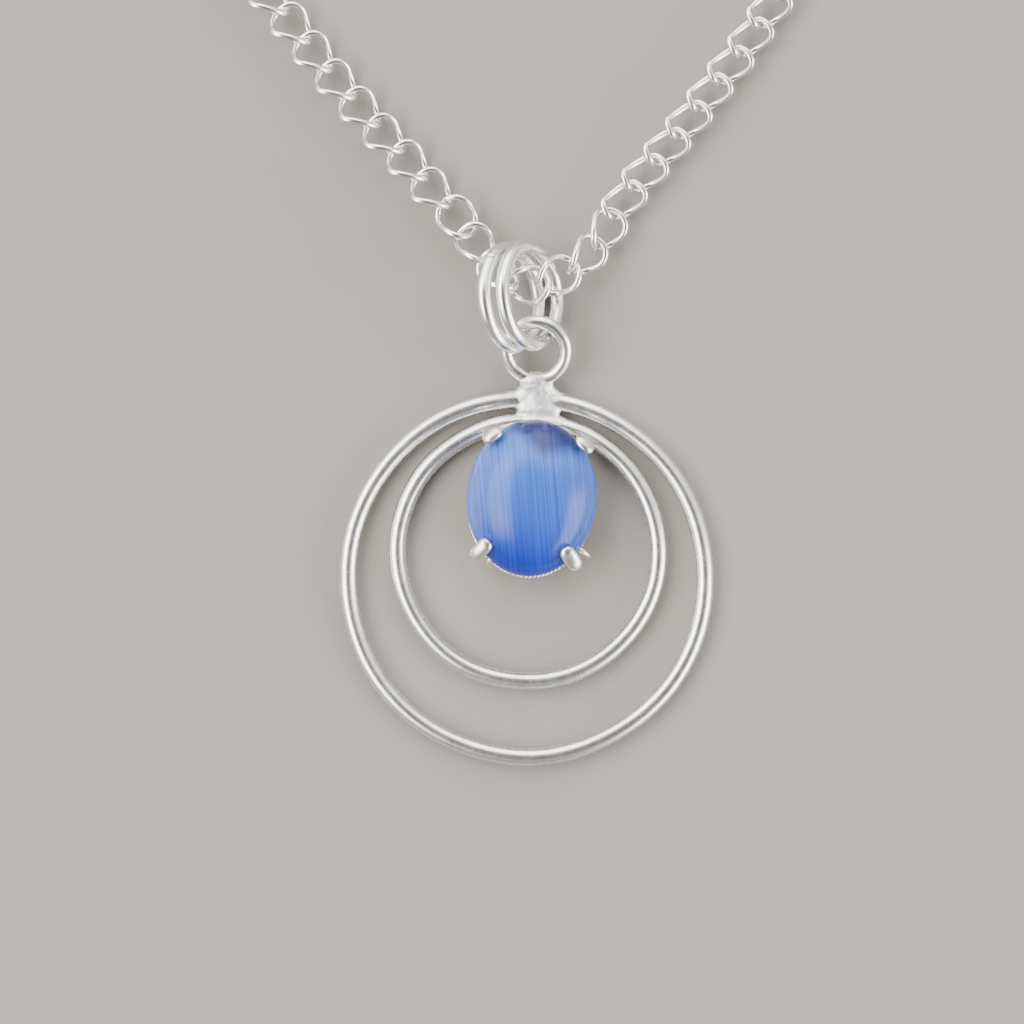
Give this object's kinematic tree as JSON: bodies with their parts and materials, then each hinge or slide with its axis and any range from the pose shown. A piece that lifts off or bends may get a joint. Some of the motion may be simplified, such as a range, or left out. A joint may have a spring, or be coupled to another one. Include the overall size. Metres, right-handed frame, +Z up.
{
  "type": "pendant necklace",
  "caption": "Pendant of two nested wire hoops with a claw-set oval cat's-eye cabochon, hung by jump rings on a curb chain with a lobster clasp.",
  "frame": {"origin": "on the table under the middle of the pendant and its two jump rings together", "axes": "+Y from the pendant towards the chain, +Z up out of the table, the side that the stone faces"},
  "size_m": [0.05, 0.1164, 0.0074],
  "materials": {
    "silver": "semi-polished sterling silver, fine scratches and small pits",
    "chain_silver": "bright drawn silver wire",
    "solder": "matt, pitted silver solder",
    "spring_steel": "fine spring wire",
    "cats_eye": "polished fibre-optic cat's-eye glass, blue"
  },
  "bodies": {
    "chain": {"centre_link": "chain_silver", "chain_left_strand": "chain_silver", "chain_right_strand": "chain_silver", "chain_coil": "chain_silver", "chain_clasp_end": "chain_silver", "chain_ring_end": "chain_silver"},
    "jump_ring_left": {"jump_ring_left": "silver"},
    "jump_ring_right": {"jump_ring_right": "silver"},
    "pendant": {"outer_hoop": "silver", "inner_hoop": "silver", "pendant_eye": "silver", "solder_neck": "solder", "solder_bridge": "solder", "setting_base": "silver", "setting_gallery": "silver", "setting_solder": "solder", "prong_upper_left": "silver", "prong_upper_right": "silver", "prong_lower_left": "silver", "prong_lower_right": "silver", "cats_eye_stone": "cats_eye"},
    "clasp_ring": {"clasp_ring": "silver"},
    "clasp": {"clasp_body": "silver", "clasp_rivet": "silver", "clasp_spring": "spring_steel"},
    "clasp_lever": {"clasp_lever": "silver"},
    "end_ring": {"end_ring": "silver"}
  },
  "joints": [
    {"name": "jump_ring_left_swing", "type": "hinge", "parent": "chain", "child": "jump_ring_left", "pos_m": [-0.00027, 0.01639, 0.00304], "axis": [0.9066, 0.112, 0.4068], "range_deg": [-90, 45]},
    {"name": "jump_ring_right_swing", "type": "hinge", "parent": "chain", "child": "jump_ring_right", "pos_m": [-0.00027, 0.01639, 0.00304], "axis": [0.9066, 0.112, 0.4068], "range_deg": [-90, 45]},
    {"name": "pendant_swing", "type": "hinge", "parent": "jump_ring_left", "child": "pendant", "pos_m": [0.00075, 0.01229, 0.00208], "axis": [0.5609, 0.453, -0.6929], "range_deg": [-50, 50]},
    {"name": "clasp_ring_swing", "type": "hinge", "parent": "chain", "child": "clasp_ring", "pos_m": [0.00625, 0.08167, 0.0014], "axis": [0.9061, 0.351, 0.236], "range_deg": [-55, 55]},
    {"name": "clasp_swivel", "type": "hinge", "parent": "clasp_ring", "child": "clasp", "pos_m": [0.00622, 0.07949, 0.0012], "axis": [-0.1609, -0.3399, 0.9266], "range_deg": [-24, 12]},
    {"name": "clasp_lever_open", "type": "hinge", "parent": "clasp", "child": "clasp_lever", "pos_m": [0.00391, 0.07725, 0.00108], "axis": [-0.0121, -0.0687, 0.9976], "range_deg": [0, 28], "stiffness_Nm_per_rad": 0.002},
    {"name": "end_ring_swing", "type": "hinge", "parent": "chain", "child": "end_ring", "pos_m": [-0.00081, 0.08247, 0.00192], "axis": [0.4462, 0.8004, 0.4002], "range_deg": [-45, 45]}
  ],
  "couplings": [
    {"joint": "jump_ring_right_swing", "follows": "jump_ring_left_swing", "ratio": 1}
  ]
}
